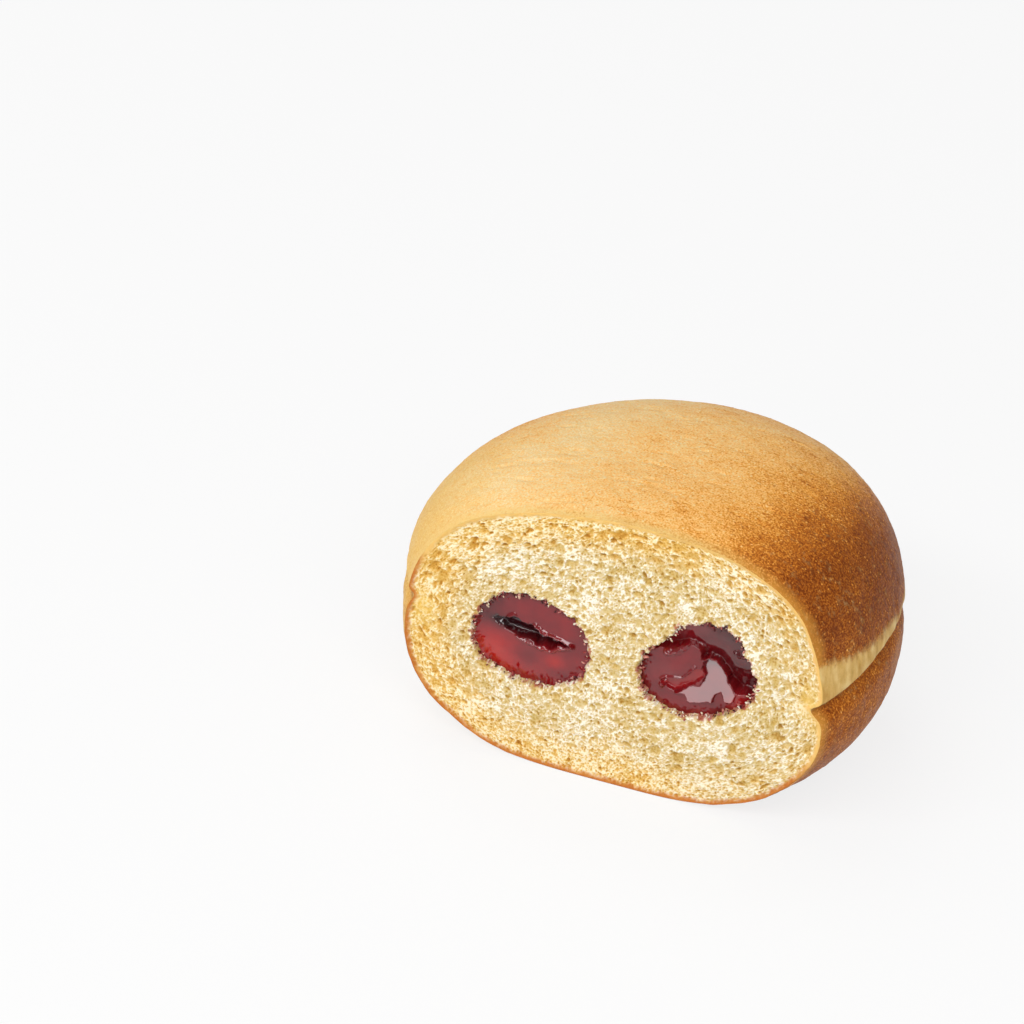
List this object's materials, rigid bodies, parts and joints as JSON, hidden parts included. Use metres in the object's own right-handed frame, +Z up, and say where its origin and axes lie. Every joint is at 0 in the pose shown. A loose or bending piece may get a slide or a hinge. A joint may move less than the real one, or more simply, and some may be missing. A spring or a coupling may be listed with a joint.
{
  "type": "jelly filled doughnut",
  "caption": "Round puffed doughnut with one side cut off, showing pale crumb and red fruit jelly in its pockets, on a small flat base.",
  "frame": {"origin": "on the surface that the doughnut rests on, under the middle of its bounding box", "axes": "+Z up; +X along the straight cut, to the right as the cut face is seen from the front; +Y away from the cut face, into the doughnut"},
  "size_m": [0.085, 0.0642, 0.0529],
  "materials": {
    "baked_dough": "golden brown baked crust with a pale seam band, and a cream, open crumb on the cut",
    "red_jelly": "wet, translucent dark red fruit jelly"
  },
  "bodies": {
    "root": {"dough": "baked_dough", "jelly_left": "red_jelly", "jelly_right": "red_jelly"}
  },
  "joints": []
}
